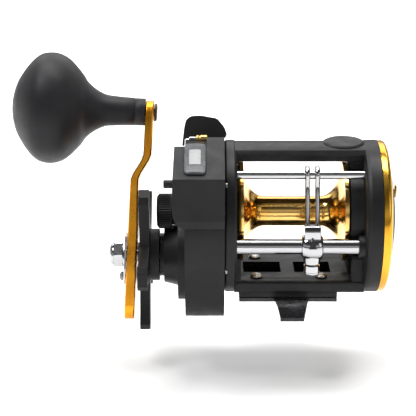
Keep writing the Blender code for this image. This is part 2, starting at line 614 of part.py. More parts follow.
def add_star():
    """Five-armed wheel; one arm points down and forward by the tilt that the handle also has."""
    y, z = HANDLE
    outline = []
    for k in range(5):
        middle = 270.0 - VIEW_TILT + 72.0 * k
        outline += [polar(HANDLE, 13.6, middle - 36.0), polar(HANDLE, 16.5, middle - 21.0)]
        outline += [polar(HANDLE, 30.0, middle - 9.5), polar(HANDLE, 35.6, middle - 9.6)]
        outline += [polar(HANDLE, 37.7, middle - 5.0), polar(HANDLE, 37.7, middle + 5.0)]
        outline += [polar(HANDLE, 35.6, middle + 9.6), polar(HANDLE, 30.0, middle + 9.5)]
        outline += [polar(HANDLE, 16.5, middle + 21.0)]
    star = add_object("star_drag", slab(outline, -75.0, -70.0), "soft_black", (-72, y, z))
    hub = [(-70.5, 0), (-70.5, 13.6), (-69.4, 13.0), (-65.3, 13.0), (-65.3, 0)]
    join(star, turned(hub, HANDLE, 32), "star_hub")
    cut(star, rod(HANDLE, 3.9, -77, -64, 24), "star_bore")
    add_object("spacer_collar", tube(HANDLE, 6.2, 3.9, -76.1, -75.3, 20), "dark_metal", (-76, y, z))


def arm_space():
    """Frame of the handle: along runs from the shaft to the knob, across is its width, X its thickness."""
    turn = Matrix.Rotation(math.radians(-VIEW_TILT), 4, 'X')
    return Matrix.Translation((0.0, HANDLE[0], HANDLE[1])) @ turn


def arm_x(along):
    """Outer face of the arm, leaning to the reel and stepping inward at the bend."""
    step = min(max((along - 36.7) / 14.3, 0.0), 1.0)
    bend = step * step * (3 - 2 * step)
    return ARM_FACE + ARM_LEAN * along + 6.0 * bend


def arm_thickness(along):
    """Thick at the hub, thinning to the bend."""
    taper = min(max((along - 10.0) / 26.0, 0.0), 1.0)
    return ARM_HUB_THICK + (ARM_THICK - ARM_HUB_THICK) * taper


def arm_half_width(along):
    """The arm's half width, round at both ends."""
    centre, radius = (-25.4, 7.1) if along < 0 else (70.6, 6.9)
    over = (centre - along) if along < 0 else (along - centre)
    return radius * math.sqrt(max(0.0, 1.0 - (max(over, 0.0) / radius) ** 2))


def add_arm():
    stations = [-32.5, -32.0, -30.8, -28.8, -25.4, 10.0, 34.0, 38.0, 41.0, 44.0, 47.0, 50.0, 54.0,
                70.6, 73.8, 76.0, 77.2, 77.5]
    bm = bmesh.new()
    rings = []
    for along in stations:
        half = max(arm_half_width(along), 0.8)
        face = arm_x(along)
        back = face + arm_thickness(along)
        corners = [(face + 0.5, -half), (face, -half + 0.6), (face, half - 0.6), (face + 0.5, half),
                   (back - 0.5, half), (back, half - 0.6), (back, -half + 0.6), (back - 0.5, -half)]
        rings.append([bm.verts.new((x, across, along)) for x, across in corners])
    bm.faces.new(rings[0][::-1])
    bm.faces.new(rings[-1])
    for ring, after in zip(rings, rings[1:]):
        for i in range(8):
            bm.faces.new((ring[i], ring[(i + 1) % 8], after[(i + 1) % 8], after[i]))
    bmesh.ops.transform(bm, matrix=arm_space(), verts=bm.verts)
    y, z = HANDLE
    arm = add_object("handle_arm", bm, "gold", (-79, y, z))
    cut(arm, rod(HANDLE, 3.9, -86, -74, 24), "arm_bore")
    cut(arm, along_arm(rod((0, 0), 2.1, -12, 12, 20), 71.75), "knob_hole")
    cut(arm, along_arm(rod((0, 0), 1.3, -12, 12, 16), -11.0), "lock_hole")


def along_arm(bm, along, lean=2.6):
    """Stand a part built about the X axis on the arm's outer face, at a distance from the shaft."""
    tilt = Matrix.Rotation(math.radians(lean), 4, 'Y')
    place = Matrix.Translation((arm_x(along), 0.0, along))
    bmesh.ops.transform(bm, matrix=arm_space() @ place @ tilt, verts=bm.verts)
    return bm


def add_handle_fittings():
    y, z = HANDLE
    nut = [(-90.9, 0), (-90.7, 2.0), (-89.6, 4.3), (-87.6, 5.6), (-86.2, 5.9)]
    bm = turned(nut + [(-86.2, 6.3), (-83.5, 6.3), (-83.5, 0)], HANDLE, 6 * 4)
    for corner in bm.verts:
        if corner.co.x > -86.3:
            offset = Vector((corner.co.y - y, corner.co.z - z))
            if offset.length > 1.0:
                turn = math.degrees(math.atan2(offset.y, offset.x)) % 60.0 - 30.0
                scale = 6.0 / math.cos(math.radians(turn)) / offset.length
                corner.co.y = y + offset.x * min(scale, 1.09)
                corner.co.z = z + offset.y * min(scale, 1.09)
    made = add_object("handle_nut", bm, "chrome", (-86, y, z))
    cut(made, rod(HANDLE, 2.5, -88.9, -82, 20), "nut_bore")
    plate = [(-6.8, 8.0), (-4.5, 11.0), (4.5, 11.0), (6.8, 8.0), (6.8, -8.0), (3.4, -15.0), (-3.4, -15.0),
             (-6.8, -8.0)]
    bm = along_arm(slab(rounded(plate, 2.0, 3), -1.25, -0.35), 0.0)
    lock = add_object("nut_lock_plate", bm, "chrome", (-83, y, z))
    cut(lock, rod(HANDLE, 3.9, -85, -81, 24), "lock_plate_bore")
    cut(lock, along_arm(rod((0, 0), 1.3, -12, 12, 16), -11.0), "lock_plate_hole")
    screw = [(-3.4, 0), (-3.4, 1.2), (-2.8, 2.1), (-2.3, 2.3), (-1.65, 2.3), (-1.65, 1.0), (4.6, 1.0),
             (4.6, 0)]
    add_object("lock_screw", along_arm(turned(screw, (0, 0), 16), -11.0), "chrome")


KNOB_PROFILE = [(0.0, 6.8), (5.0, 6.9), (15.5, 7.5), (20.0, 8.1), (24.7, 10.3), (29.2, 13.9), (32.3, 18.3),
                (38.0, 24.3), (42.5, 27.0), (47.5, 28.0), (53.0, 26.8), (58.0, 22.5), (63.4, 15.0),
                (66.2, 7.0), (67.0, 0.0)]
KNOB_ALONG = 71.75


def add_knob():
    """Turned power knob on a spindle that is riveted through the arm."""
    outside = [(-(s + GAP), r) for s, r in KNOB_PROFILE]
    solid = [(-GAP, 2.6)] + outside + [(-60.0, 0.0), (-60.0, 2.6)]
    place = arm_space() @ Vector((arm_x(KNOB_ALONG), 0.0, KNOB_ALONG))
    add_object("handle_knob", along_arm(turned(solid, (0, 0), 26), KNOB_ALONG), "soft_black", place)
    spindle = [(-58.0, 0), (-58.0, 2.3), (-GAP / 2, 2.3), (-GAP / 2, 1.8), (ARM_THICK + GAP, 1.8),
               (ARM_THICK + GAP, 4.6), (ARM_THICK + 1.4, 4.6), (ARM_THICK + 1.8, 3.8), (ARM_THICK + 1.8, 0)]
    add_object("knob_spindle", along_arm(turned(spindle, (0, 0), 14), KNOB_ALONG), "dark_metal", place)


# ---- spool and level wind ---------------------------------------------------------------------------

FLARE_LENGTH = 10.5


def add_spool():
    """Polished spool: rims, concave flares down to the arbor, bore for its shaft."""
    left = [(-27.6, 2.4), (-27.6, 23.2), (-26.1, 23.4), (-26.1, 24.4), (-25.7, 24.8), (-23.6, 24.8)]
    flare = [(FLARE_LENGTH * (1 - math.cos(math.radians(a))), 24.4 - 17.0 * math.sin(math.radians(a)))
             for a in (4, 22, 42, 62, 78, 90)]
    inner_left = [(-23.4 + push, radius) for push, radius in flare]
    inner_right = [(25.2 - push, radius) for push, radius in reversed(flare)]
    right = [(25.4, 24.8), (27.3, 24.8), (27.7, 24.4), (27.7, 4.7), (29.0, 4.6), (29.0, 2.4)]
    y, z = SPOOL
    add_object("spool", turned(left + inner_left + inner_right + right, SPOOL, 32), "gold", (0, y, z))
    shaft = [(-61.5, 0), (-61.5, 2.1), (41.0, 2.1), (41.0, 0)]
    add_object("spool_shaft", turned(shaft, SPOOL, 14), "steel", (0, y, z))
    add_object("spool_bearing_left", tube(SPOOL, 5.0, 2.45, -35.6, -33.1, 16), "steel", (-34, y, z))
    add_object("spool_bearing_right", tube(SPOOL, 5.0, 2.45, 34.7, 36.9, 16), "steel", (36, y, z))


def levelwind_idler():
    """Centre of the idler: it touches both the spool gear's and the worm gear's pitch circles."""
    near = (SPOOL_TEETH + IDLER_TEETH) * GEAR_MODULE / 2
    far = (IDLER_TEETH + WORM_TEETH) * GEAR_MODULE / 2
    across = Vector(WORM) - Vector(SPOOL)
    along = (near ** 2 - far ** 2 + across.length ** 2) / (2 * across.length)
    side = math.sqrt(max(near ** 2 - along ** 2, 0.0))
    heading = across.normalized()
    return tuple(Vector(SPOOL) + heading * along + Vector((-heading.y, heading.x)) * side)


def add_level_wind():
    low, high = 38.2, 40.2
    idler = levelwind_idler()
    idler_phase = mesh_phase(SPOOL, 0.0, SPOOL_TEETH, idler, IDLER_TEETH)
    worm_phase = mesh_phase(idler, idler_phase, IDLER_TEETH, WORM, WORM_TEETH)
    gear("spool_gear", SPOOL, SPOOL_TEETH, GEAR_MODULE, 0.0, low, high, 2.5, "brass")
    gear("levelwind_idler_gear", idler, IDLER_TEETH, GEAR_MODULE, idler_phase, low, high, 1.8, "soft_black")
    gear("worm_gear", WORM, WORM_TEETH, GEAR_MODULE, worm_phase, low, high, 2.5, "soft_black")
    add_worm()
    barrel = tube(WORM, 3.75, 3.1, -29.0, 33.8, 24)
    made = add_object("worm_tube", barrel, "chrome", (0, *WORM), sharp=40.0)
    slot = turned_to(block((-29.0, -1.3, -6.0), (28.5, 1.3, -1.0)), (0, *WORM), (1, 0, 0))
    cut(made, slot, "worm_tube_slot")
    add_object("guide_bar", rod(BAR, 2.05, -28.1, 35.3, 16, 0.3), "chrome", (0, *BAR))


def add_worm():
    """Worm shaft whose surface dips along two crossing helices."""
    rounds, around, start, end = 32, 10, -26.0, 27.0
    lead, depth, radius = 9.6, 0.45, 2.55
    rings = [(-30.4, 1.9), (-27.0, 1.9)]
    bm = bmesh.new()
    made = []
    for i in range(rounds + 1):
        x = start + (end - start) * i / rounds
        ring = []
        for k in range(around):
            angle = 2 * math.pi * k / around
            turn = (x - start) / lead * 2 * math.pi
            off = min(abs(math.sin((angle - turn) / 2)), abs(math.sin((angle + turn) / 2)))
            r = radius - depth * math.exp(-(off / 0.34) ** 2)
            ring.append(bm.verts.new((x, WORM[0] + r * math.cos(angle), WORM[1] + r * math.sin(angle))))
        made.append(ring)

    def plain_ring(x, r):
        return [bm.verts.new((x, y, z)) for y, z in circle(WORM, r, around)]

    ends = [plain_ring(x, r) for x, r in rings]
    tail = [plain_ring(x, r) for x, r in ((28.0, 2.2), (41.0, 2.2))]
    chain = ends + made + tail
    for ring, after in zip(chain, chain[1:]):
        for k in range(around):
            j = (k + 1) % around
            bm.faces.new((ring[k], ring[j], after[j], after[k]))
    bm.faces.new(chain[0][::-1])
    bm.faces.new(chain[-1])
    add_object("worm_shaft", bm, "steel", (0, *WORM))


GUIDE_X = 9.2
WIRE_OFFSET = 2.4


def add_line_guide():
    """Carriage on the worm tube, pawl and cap under it, and two wires that hook over the guide bar."""
    y, z = WORM
    body = [(-5.15, 0), (-5.15, 4.9), (-4.2, 5.9), (-1.8, 6.3), (1.8, 6.3), (4.2, 5.9), (5.15, 4.9),
            (5.15, 0)]
    guide = add_object("line_guide", turned([(GUIDE_X + x, r) for x, r in body], WORM, 24), "chrome",
                       (GUIDE_X, y, z))
    neck = rounded([(y - 4.2, z + 2.0), (y + 1.8, z + 2.0), (y + 2.2, z + 10.8), (y - 2.0, z + 10.8)], 1.0)
    join(guide, slab(neck, GUIDE_X - 4.0, GUIDE_X + 4.0), "guide_neck")
    join(guide, turned_to(rod((0, 0), 3.9, -8.6, -3.0, 28), (GUIDE_X, y, z), (0, 0, 1)), "pawl_boss")
    for side in (-1, 1):
        x = GUIDE_X + side * WIRE_OFFSET
        join(guide, wire(x), "wire_left" if side < 0 else "wire_right")
    cut(guide, rod(SPOOL, 25.3, GUIDE_X - 8, GUIDE_X + 8, 60), "flange_clearance")
    bores = rod(WORM, 4.1, GUIDE_X - 8, GUIDE_X + 8, 20)
    cut(guide, bores, "carriage_bore")
    cut(guide, turned_to(rod((0, 0), 2.5, -9.5, 0.0, 20), (GUIDE_X, y, z), (0, 0, 1)), "pawl_bore")
    pawl = [(-8.4, 0), (-8.4, 2.2), (-4.2, 2.2), (-3.4, 0.9), (-2.75, 0.7), (-2.75, 0)]
    bm = turned_to(turned(pawl, (0, 0), 16), (GUIDE_X, y, z), (0, 0, 1))
    add_object("pawl", bm, "steel", (GUIDE_X, y, z))
    cap = [(-13.8, 0), (-13.8, 3.1), (-13.3, 3.6), (-8.9, 3.6), (-8.9, 0)]
    made = add_object("pawl_cap", turned_to(turned(cap, (0, 0), 28), (GUIDE_X, y, z), (0, 0, 1)), "chrome",
                      (GUIDE_X, y, z - 9))
    cut(made, block((GUIDE_X - 0.6, y - 5, z - 14.5), (GUIDE_X + 0.6, y + 5, z - 12.9)), "cap_slot")


def wire(x):
    """One line wire: up from the neck, over the guide bar and down behind it."""
    y, z = WORM
    hook_r = 2.05 + GAP + 1.1
    path = [(y + 0.2, z + 8.0), (y + 0.6, z + 12.0), (BAR[0] - hook_r, BAR[1] - 3.0),
            (BAR[0] - hook_r, BAR[1])]
    path += [polar(BAR, hook_r, angle) for angle in (145, 110, 75, 40, 5, -20)]
    bm = bmesh.new()
    rings = []
    for i, point in enumerate(path):
        before, after = path[max(i - 1, 0)], path[min(i + 1, len(path) - 1)]
        heading = Vector((after[0] - before[0], after[1] - before[1])).normalized()
        side = Vector((-heading.y, heading.x))
        ring = []
        for k in range(8):
            angle = 2 * math.pi * k / 8
            y_off, z_off = side * (1.1 * math.sin(angle))
            ring.append(bm.verts.new((x + 1.1 * math.cos(angle), point[0] + y_off, point[1] + z_off)))
        rings.append(ring)
    for ring, after in zip(rings, rings[1:]):
        for k in range(8):
            j = (k + 1) % 8
            bm.faces.new((ring[k], ring[j], after[j], after[k]))
    bm.faces.new(rings[0][::-1])
    bm.faces.new(rings[-1])
    return bm


# ---- palm side ----------------------------------------------------------------------------------------

CLICK = (0.0, SPOOL_Z + 10.5)
PALM_FACE = RIGHT_RING[1] + GAP


def add_palm_side():
    trim = [(PALM_FACE, 34.2), (PALM_FACE, 37.9), (44.9, 37.9), (46.3, 37.0), (47.2, 34.6), (47.2, 31.2),
            (46.4, 31.2), (46.4, 34.2)]
    add_object("trim_ring", turned(trim, RING, 48), "gold", (44, *RING))
    cover = palm_dome()
    made = add_object("palm_cover", cover, "graphite", (46, *RING), sharp=50.0)
    studs = rod(levelwind_idler(), 1.4, 37.9, 49.6, 12)
    join(made, studs, "idler_stud")
    cut(made, block((43.0, -1.6, CLICK[1] - 5.0), (60.0, 1.6, CLICK[1] + 2.6)), "clicker_slot")
    button = [(0.0, 0), (0.0, 2.3), (0.6, 2.2), (1.0, 1.4), (1.1, 0)]
    place = (palm_skin(CLICK[1]) + 0.9, CLICK[0], CLICK[1])
    bm = turned(button, (0, 0), 16)
    bmesh.ops.scale(bm, verts=bm.verts, vec=(1, 1.1, 1.6))
    knob = add_object("clicker_button", turned_to(bm, place, (1, 0, 0)), "brass", place)
    join(knob, rod(CLICK, 1.2, 44.5, place[0] + 0.6, 12), "clicker_stem")
    tongue = rounded([(-2.0, CLICK[1] + 3.0), (-2.0, CLICK[1] - 3.4), (2.0, CLICK[1] - 3.4),
                      (2.0, CLICK[1] + 3.0)], 0.9)
    add_object("clicker_tongue", slab(tongue, 42.4, 44.2), "steel", (43, *CLICK))


DOME_RISE = [(46.0, 30.9), (47.2, 30.6), (49.2, 24.0), (50.9, 14.0), (51.9, 6.0)]


def palm_skin(z):
    """X of the dome's outer skin straight out from the ring's axis at height z."""
    reach = abs(z - RING_Z)
    for (x0, r0), (x1, r1) in zip(DOME_RISE[1:], DOME_RISE[2:]):
        if r1 <= reach <= r0:
            return x0 + (x1 - x0) * (r0 - reach) / (r0 - r1)
    return DOME_RISE[-1][0]


def palm_dome():
    """Shallow domed cover with a flange that sits inside the cup behind the trim ring."""
    skin = DOME_RISE + [(52.2, 0.0)]
    inside = [(50.6, 0.0), (50.3, 6.0), (49.3, 14.0), (47.6, 24.0), (45.8, 28.6), (44.3, 28.6), (44.3, 33.9),
              (46.0, 33.9)]
    return turned(skin + inside, RING, 32)


def main():
    for old in list(bpy.data.objects):
        bpy.data.objects.remove(old)
    add_frame()
    add_foot()
    add_case()
    add_housing()
    add_counter()
    add_counter_drive()
    add_reset()
    add_lever()
    add_clutch()
    add_bridge()
    add_handle_shaft()
    add_star()
    add_arm()
    add_handle_fittings()
    add_knob()
    add_spool()
    add_level_wind()
    add_line_guide()
    add_palm_side()


main()
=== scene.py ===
"""Looks of the level-wind trolling reel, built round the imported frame.

Lengths in this file are millimetres unless a name says otherwise, and MM turns them into metres.
"""
import json
import math

import bmesh
import bpy
from mathutils import Matrix, Vector


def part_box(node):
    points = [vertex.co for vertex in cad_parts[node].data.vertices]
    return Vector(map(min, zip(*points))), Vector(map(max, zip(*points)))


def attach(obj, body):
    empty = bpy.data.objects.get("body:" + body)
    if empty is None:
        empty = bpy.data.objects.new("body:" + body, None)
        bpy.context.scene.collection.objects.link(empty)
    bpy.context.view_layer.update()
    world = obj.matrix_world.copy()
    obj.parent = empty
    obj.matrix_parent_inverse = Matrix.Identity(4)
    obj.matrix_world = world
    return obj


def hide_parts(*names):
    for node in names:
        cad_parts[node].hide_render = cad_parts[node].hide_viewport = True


MM = 0.001
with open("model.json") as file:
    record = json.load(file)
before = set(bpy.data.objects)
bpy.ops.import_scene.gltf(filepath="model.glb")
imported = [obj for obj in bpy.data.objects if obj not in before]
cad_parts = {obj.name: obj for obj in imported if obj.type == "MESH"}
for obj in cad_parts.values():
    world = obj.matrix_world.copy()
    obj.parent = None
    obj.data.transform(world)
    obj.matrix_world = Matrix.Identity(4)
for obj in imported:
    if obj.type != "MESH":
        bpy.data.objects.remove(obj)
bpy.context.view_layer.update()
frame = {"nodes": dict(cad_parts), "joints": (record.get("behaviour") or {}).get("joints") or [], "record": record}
NODES = frame["nodes"]
JOINTS = {joint["name"]: joint for joint in frame["joints"]}
BODY_OF = {node: body for body, nodes in frame["record"]["behaviour"]["bodies"].items() for node in nodes}
SLOT_OF = {part["node"]: part["material_slot"] for part in frame["record"]["subparts"]}


def middle(node):
    """Middle of a node's box, in millimetres."""
    low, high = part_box(node)
    return (low + high) / 2 / MM


def span(node):
    """Lowest and highest x of a node, in millimetres."""
    low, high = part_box(node)
    return low.x / MM, high.x / MM


SPOOL = middle("spool_shaft").yz
RING = middle("trim_ring").yz
HANDLE = middle("handle_bearing").yz
WORM = middle("worm_tube").yz
BAR = middle("guide_bar").yz
BAR_R = 2.05
WIRE_R = 1.22
HOOK_R = 3.45


# ---- materials -------------------------------------------------------------------------------------

class Look:
    """A Principled material with helpers for the node chains that the looks share."""

    def __init__(self, name, colour, roughness, metallic=0.0, **inputs):
        self.material = bpy.data.materials.new(name)
        self.material.use_nodes = True
        self.nodes = self.material.node_tree.nodes
        self.links = self.material.node_tree.links
        self.shader = self.nodes["Principled BSDF"]
        self.shader.inputs["Base Color"].default_value = (*colour, 1.0)
        self.shader.inputs["Roughness"].default_value = roughness
        self.shader.inputs["Metallic"].default_value = metallic
        for socket, value in inputs.items():
            self.shader.inputs[socket.replace("_", " ")].default_value = value
        self.place = self.nodes.new("ShaderNodeTexCoord").outputs["Object"]

    def scaled(self, x, y, z):
        node = self.nodes.new("ShaderNodeMapping")
        node.inputs["Scale"].default_value = (x, y, z)
        self.links.new(self.place, node.inputs["Vector"])
        return node.outputs["Vector"]

    def noise(self, scale, detail=3.0, stretch=(1, 1, 1)):
        node = self.nodes.new("ShaderNodeTexNoise")
        node.inputs["Scale"].default_value = scale
        node.inputs["Detail"].default_value = detail
        self.links.new(self.scaled(*stretch), node.inputs["Vector"])
        return node.outputs["Fac"]

    def cells(self, scale):
        node = self.nodes.new("ShaderNodeTexVoronoi")
        node.inputs["Scale"].default_value = scale
        self.links.new(self.place, node.inputs["Vector"])
        return node.outputs["Distance"]

    def remap(self, value, low, high, start=0.35, end=0.65):
        node = self.nodes.new("ShaderNodeMapRange")
        node.inputs["From Min"].default_value = start
        node.inputs["From Max"].default_value = end
        node.inputs["To Min"].default_value = low
        node.inputs["To Max"].default_value = high
        self.links.new(value, node.inputs["Value"])
        return node.outputs["Result"]

    def blend(self, factor, first, second):
        node = self.nodes.new("ShaderNodeMix")
        node.data_type = 'RGBA'
        for index, value in ((6, first), (7, second)):
            if isinstance(value, tuple):
                node.inputs[index].default_value = (*value, 1.0)
            else:
                self.links.new(value, node.inputs[index])
        self.links.new(factor, node.inputs[0])
        return node.outputs[2]

    def colour(self, output):
        self.links.new(output, self.shader.inputs["Base Color"])

    def roughness(self, output):
        self.links.new(output, self.shader.inputs["Roughness"])

    def bump(self, height, strength, distance):
        node = self.nodes.new("ShaderNodeBump")
        node.inputs["Strength"].default_value = strength
        node.inputs["Distance"].default_value = distance * MM
        self.links.new(height, node.inputs["Height"])
        earlier = self.shader.inputs["Normal"].links
        if earlier:
            self.links.new(earlier[0].from_socket, node.inputs["Normal"])
        self.links.new(node.outputs["Normal"], self.shader.inputs["Normal"])


def moulded(name, colour, roughness, grain=0.35):
    """Fine spark-eroded plastic: grain in the bump, slight clouding in colour and gloss."""
    look = Look(name, colour, roughness, Specular_IOR_Level=0.24)
    cloud = look.noise(45.0, 4.0)
    lighter = tuple(channel * 1.35 for channel in colour)
    look.colour(look.blend(look.remap(cloud, 0.0, 1.0), colour, lighter))
    look.roughness(look.remap(look.noise(160.0, 2.0), roughness - 0.05, roughness + 0.07))
    look.bump(look.cells(2600.0), grain, 0.03)
    look.bump(look.noise(220.0, 3.0), 0.12, 0.06)
    return look.material


def anodised(name, colour, deep, roughness, marks=0.04):
    """Polished gold anodising: warm depth variation and fine handling marks."""
    look = Look(name, colour, roughness, 1.0)
    look.colour(look.blend(look.remap(look.noise(60.0, 3.0), 0.0, 1.0), colour, deep))
    look.roughness(look.remap(look.noise(90.0, 4.0), roughness * 0.8, roughness * 1.35))
    look.bump(look.noise(700.0, 2.0), marks, 0.02)
    return look.material


def polished(name, colour, roughness):
    """Chrome plate with faint handling marks."""
    look = Look(name, colour, roughness, 1.0)
    look.roughness(look.remap(look.noise(70.0, 5.0), roughness * 0.7, roughness * 1.6))
    look.bump(look.noise(500.0, 2.0), 0.03, 0.02)
    return look.material


def machined(name, colour, roughness):
    """Turned or stamped metal with fine tool marks."""
    look = Look(name, colour, roughness, 1.0)
    darker = tuple(channel * 0.72 for channel in colour)
    look.colour(look.blend(look.remap(look.noise(120.0, 4.0), 0.0, 1.0), colour, darker))
    look.roughness(look.remap(look.noise(300.0, 3.0), roughness * 0.8, roughness * 1.3))
    look.bump(look.noise(700.0, 2.0, (6.0, 1.0, 1.0)), 0.15, 0.03)
    return look.material


def coated(name, colour, roughness):
    """Dark satin coating over cast metal."""
    look = Look(name, colour, roughness, 0.55)
    lighter = tuple(channel * 1.5 for channel in colour)
    look.colour(look.blend(look.remap(look.noise(80.0, 4.0), 0.0, 1.0), colour, lighter))
    look.roughness(look.remap(look.noise(200.0, 3.0), roughness - 0.05, roughness + 0.08))
    look.bump(look.noise(420.0, 3.0), 0.18, 0.05)
    return look.material


def rubber(name, colour, roughness):
    """Dull moulded rubber with a faint bloom."""
    look = Look(name, colour, roughness, Specular_IOR_Level=0.24, Sheen_Weight=0.05, Sheen_Roughness=0.5)
    lighter = tuple(channel * 1.4 for channel in colour)
    look.colour(look.blend(look.remap(look.noise(55.0, 5.0), 0.0, 1.0), colour, lighter))
    look.roughness(look.remap(look.noise(130.0, 3.0), roughness - 0.06, roughness + 0.06))
    look.bump(look.cells(1500.0), 0.3, 0.04)
    look.bump(look.noise(90.0, 3.0), 0.1, 0.12)
    return look.material


LOOKS = {
    "frame_black": moulded("frame_black", (0.009, 0.009, 0.0095), 0.42),
    "housing_black": moulded("housing_black", (0.012, 0.012, 0.0125), 0.5),
    "foot_grey": coated("foot_grey", (0.026, 0.026, 0.028), 0.24),
    "screw_steel": machined("screw_steel", (0.42, 0.41, 0.40), 0.38),
    "inner_steel": machined("inner_steel", (0.5, 0.5, 0.51), 0.3),
    "lens_grey": moulded("lens_grey", (0.10, 0.104, 0.11), 0.25, 0.05),
    "window_white": moulded("window_white", (0.36, 0.36, 0.36), 0.3, 0.05),
    # dark_chrome is a darker copy of chrome_parts; where it is laid on chrome pieces below, it paints shade and
    # dark reflection into their colour
    "dark_chrome": polished("dark_chrome", (0.10, 0.10, 0.11), 0.2),
    "chrome_parts": polished("chrome_parts", (0.55, 0.55, 0.56), 0.09),
    "arm_amber": anodised("arm_amber", (0.93, 0.42, 0.035), (0.84, 0.33, 0.02), 0.26),
    "gold_trim": anodised("gold_trim", (0.95, 0.54, 0.07), (0.84, 0.42, 0.035), 0.2),
    "gold_spool": anodised("gold_spool", (1.0, 0.66, 0.22), (0.92, 0.52, 0.12), 0.15, 0.01),
    "gear_brass": machined("gear_brass", (0.72, 0.48, 0.16), 0.3),
    "drag_fibre": moulded("drag_fibre", (0.03, 0.03, 0.03), 0.7, 0.8),
    "dark_metal": coated("dark_metal", (0.06, 0.035, 0.028), 0.35),
    "knob_rubber": rubber("knob_rubber", (0.010, 0.010, 0.0115), 0.5),
    "drag_black": moulded("drag_black", (0.008, 0.008, 0.0085), 0.46),
    "gear_plastic": moulded("gear_plastic", (0.62, 0.60, 0.52), 0.45, 0.2),
    "wheel_white": moulded("wheel_white", (0.85, 0.85, 0.82), 0.4, 0.1),
}


# ---- making pieces -----------------------------------------------------------------------------------

def finish_mesh(name, bm, look, sharp=32.0):
    """Turn built geometry into a smooth-shaded object whose edges above an angle stay sharp."""
    bmesh.ops.remove_doubles(bm, verts=bm.verts, dist=0.001 * MM)
    bmesh.ops.recalc_face_normals(bm, faces=bm.faces)
    mesh = bpy.data.meshes.new(name)
    bm.to_mesh(mesh)
    bm.free()
    mesh.materials.append(look)
    mesh.shade_smooth()
    mesh.set_sharp_from_angle(angle=math.radians(sharp))
    made = bpy.data.objects.new(name, mesh)
    bpy.context.scene.collection.objects.link(made)
    return made


def add(name, bm, node, replaces=True, look=None, sharp=32.0, slot=None):
    """A new piece that rides with a node's body and, as a rule, stands for that node."""
    slot = slot or SLOT_OF[node]
    made = finish_mesh(name, bm, look or LOOKS[slot], sharp)
    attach(made, BODY_OF[node])
    if replaces:
        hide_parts(node)
    return made


def soften(made, width, segments=3, angle=30.0):
    """Round a piece's edges."""
    step = made.modifiers.new("edges", 'BEVEL')
    step.width = width * MM
    step.segments = segments
    step.limit_method = 'ANGLE'
    step.angle_limit = math.radians(angle)
    step.miter_outer = 'MITER_ARC'
    step.harden_normals = False


def refined(node, width, segments=3, angle=30.0, look=None):
    """A CAD node's shape with its flat facets merged and its edges rounded."""
    bm = bmesh.new()
    bm.from_mesh(NODES[node].data)
    bmesh.ops.remove_doubles(bm, verts=bm.verts, dist=0.002 * MM)
    bmesh.ops.dissolve_limit(bm, angle_limit=math.radians(0.6), verts=bm.verts, edges=bm.edges)
    bmesh.ops.connect_verts_concave(bm, faces=bm.faces)
    made = add(node + "_shell", bm, node, look=look, sharp=angle)
    soften(made, width, segments, angle)


def bridge(bm, rings):
    """Faces between each ring of vertices and the one after it."""
    for ring, after in zip(rings, rings[1:]):
        for k in range(len(ring)):
            j = (k + 1) % len(ring)
            bm.faces.new((ring[k], ring[j], after[j], after[k]))


def capped(bm, rings):
    """Skin a stack of rings and close both ends."""
    bridge(bm, rings)
    bm.faces.new(rings[0][::-1])
    bm.faces.new(rings[-1])
    return bm


def smooth_curve(points, per_span=6):
    """Catmull-Rom curve through control points, ends kept."""
    out = []
    ends = [points[0]] + list(points) + [points[-1]]
    for i in range(1, len(ends) - 2):
        p0, p1, p2, p3 = (Vector(ends[i + k]) for k in (-1, 0, 1, 2))
        for k in range(per_span):
            t = k / per_span
            out.append(tuple(0.5 * (2 * p1 + (p2 - p0) * t + (2 * p0 - 5 * p1 + 4 * p2 - p3) * t ** 2
                                    + (3 * p1 - p0 - 3 * p2 + p3) * t ** 3)))
    out.append(tuple(points[-1]))
    return out


def lathe(profile, centre=(0.0, 0.0), steps=96, wobble=None, closed=True, bm=None):
    """Turn a profile of (x, radius) about the X direction through centre (y, z)."""
    bm = bm or bmesh.new()
    rings = []
    for x, radius in profile:
        ring = []
        for k in range(steps):
            angle = 2 * math.pi * k / steps
            r = radius + (wobble(x, angle) if wobble and radius > 0 else 0.0)
            ring.append(bm.verts.new(Vector((x, centre[0] + r * math.cos(angle),
                                             centre[1] + r * math.sin(angle))) * MM))
        rings.append(ring)
    bridge(bm, rings + rings[:1] if closed else rings)
    return bm


def rounded_profile(profile, radius):
    """Round the corners of a closed (x, radius) profile, leaving points on the axis alone."""
    points = []
    count, steps = len(profile), 4
    for i, corner in enumerate(profile):
        if corner[1] < 1e-6:
            points.append(corner)
            continue
        here = Vector(corner)
        before, after = Vector(profile[i - 1]) - here, Vector(profile[(i + 1) % count]) - here
        reach = min(radius, before.length * 0.45, after.length * 0.45)
        first, last = here + before.normalized() * reach, here + after.normalized() * reach
        for k in range(steps + 1):
            t = k / steps
            points.append(tuple(first * (1 - t) ** 2 + here * 2 * t * (1 - t) + last * t ** 2))
    return points


def stand(bm, point, direction):
    """Move geometry built about the X axis at the origin to a point (mm) and direction."""
    turn = Vector((1, 0, 0)).rotation_difference(Vector(direction)).to_matrix().to_4x4()
    bmesh.ops.transform(bm, matrix=Matrix.Translation(Vector(point) * MM) @ turn, verts=bm.verts)
    return bm


